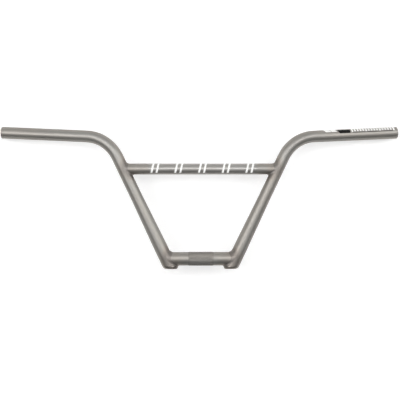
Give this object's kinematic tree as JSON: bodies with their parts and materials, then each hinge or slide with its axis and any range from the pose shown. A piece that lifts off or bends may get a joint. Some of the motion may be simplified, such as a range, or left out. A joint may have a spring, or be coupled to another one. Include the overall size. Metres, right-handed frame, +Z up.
{
  "type": "bmx handlebar",
  "caption": "High-rise welded tube handlebar with tapered legs, a straight crossbar, a thicker knurled clamp tube and swept-back hollow grip ends, in bare satin metal",
  "frame": {"origin": "the middle of the clamp tube, on its axis, where the stem holds the bar", "axes": "+X along the clamp tube to the rider's view's right, +Y the way the grips sweep back, +Z up the legs towards the grips"},
  "size_m": [0.762, 0.0638, 0.2707],
  "materials": {
    "bare_metal": "satin, fine grain, clear-coated bare metal",
    "knurled_metal": "satin, with a matt knurled band in the middle",
    "weld_metal": "satin weld bead"
  },
  "bodies": {
    "root": {"clamp_tube": "knurled_metal", "crossbar": "bare_metal", "left_side_tube": "bare_metal", "right_side_tube": "bare_metal", "left_foot_cap": "bare_metal", "right_foot_cap": "bare_metal", "crossbar_weld_left": "weld_metal", "crossbar_weld_right": "weld_metal", "clamp_weld_left": "weld_metal", "clamp_weld_right": "weld_metal"}
  },
  "joints": []
}
